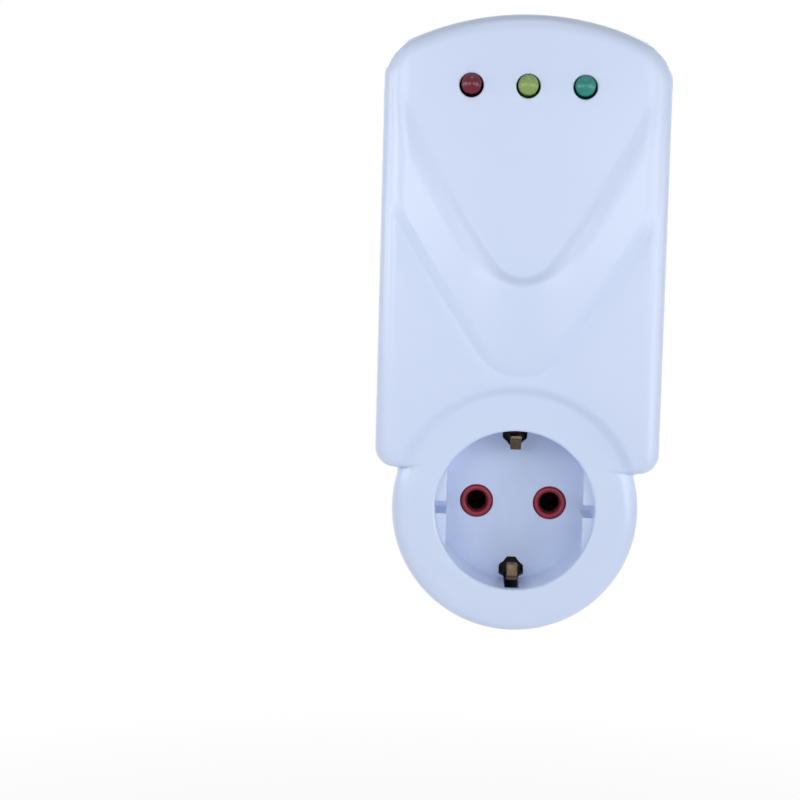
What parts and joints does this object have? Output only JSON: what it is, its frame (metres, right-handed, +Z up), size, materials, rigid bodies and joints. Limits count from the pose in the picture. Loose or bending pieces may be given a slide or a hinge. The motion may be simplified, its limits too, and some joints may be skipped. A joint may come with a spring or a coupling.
{
  "type": "plug-in voltage protector",
  "caption": "Plug-in voltage protector: white housing with raised chevron front, three signal lamps, recessed earthed round socket and an earthed round plug on its back.",
  "frame": {"origin": "centre of the plug's face on the back, midway between its two pins", "axes": "+Z up along the housing, +Y out of the back along the plug's pins towards the wall, +X to the right as seen from the front"},
  "size_m": [0.0708, 0.0801, 0.1535],
  "materials": {
    "housing": "smooth white moulding",
    "contact_support": "white moulding",
    "socket_sleeve": "red moulding",
    "red_lens": "clear red resin",
    "yellow_lens": "clear yellow-green resin",
    "green_lens": "clear green resin",
    "brass": "bare",
    "plated_steel": "bright zinc plating",
    "nickel": "nickel plating",
    "board": "green solder mask",
    "black_plastic": "black moulding",
    "blue_plastic": "blue moulding",
    "bobbin_plastic": "natural nylon",
    "copper": "enamelled winding",
    "iron": "soft iron",
    "glass": "clear",
    "resin_tan": "tan coating",
    "aluminium_can": "sleeved can"
  },
  "bodies": {
    "housing": {"front_cover": "housing", "rear_cover": "housing", "housing_screws": "plated_steel", "left_socket_sleeve": "socket_sleeve", "right_socket_sleeve": "socket_sleeve", "live_contact": "brass", "neutral_contact": "brass", "contact_carrier": "contact_support", "carrier_screws": "plated_steel", "earth_bridge": "brass", "plug_insert": "contact_support", "live_pin": "nickel", "neutral_pin": "nickel", "upper_plug_earth_strip": "nickel", "lower_plug_earth_strip": "nickel", "red_lamp": "red_lens", "yellow_lamp": "yellow_lens", "green_lamp": "green_lens", "lamp_leads": "plated_steel", "circuit_board": "board", "board_screws": "plated_steel", "relay_base": "black_plastic", "relay_case": "blue_plastic", "relay_bobbin": "bobbin_plastic", "relay_coil": "copper", "relay_core": "iron", "relay_yoke": "iron", "relay_closed_contact": "brass", "relay_open_contact": "brass", "relay_pins": "plated_steel", "relay_driver": "black_plastic", "film_capacitor": "blue_plastic", "large_capacitor": "aluminium_can", "small_capacitor": "aluminium_can", "varistor": "blue_plastic", "fuse_tube": "glass", "fuse_caps": "nickel", "fuse_holders": "plated_steel", "control_chip": "black_plastic", "chip_pins": "plated_steel", "resistors": "resin_tan", "diodes": "black_plastic", "board_terminals": "brass", "live_feed_strip": "brass", "live_output_strip": "brass", "neutral_feed_strip": "brass", "neutral_link": "brass"},
    "upper_earth_clip": {"upper_earth_clip": "brass"},
    "lower_earth_clip": {"lower_earth_clip": "brass"},
    "relay_armature": {"relay_armature": "iron", "relay_moving_contact": "copper"}
  },
  "joints": [
    {"name": "upper_clip_flex", "type": "hinge", "parent": "housing", "child": "upper_earth_clip", "pos_m": [0, -0.0346, 0.0196], "axis": [-1, 0, 0], "range_deg": [0, 10], "stiffness_Nm_per_rad": 0.12},
    {"name": "lower_clip_flex", "type": "hinge", "parent": "housing", "child": "lower_earth_clip", "pos_m": [0, -0.0346, -0.0196], "axis": [1, 0, 0], "range_deg": [0, 10], "stiffness_Nm_per_rad": 0.12},
    {"name": "relay_armature_tip", "type": "hinge", "parent": "housing", "child": "relay_armature", "pos_m": [-0.009, -0.04845, 0.0593], "axis": [-1, 0, 0], "range_deg": [0, 4], "stiffness_Nm_per_rad": 0.02}
  ]
}
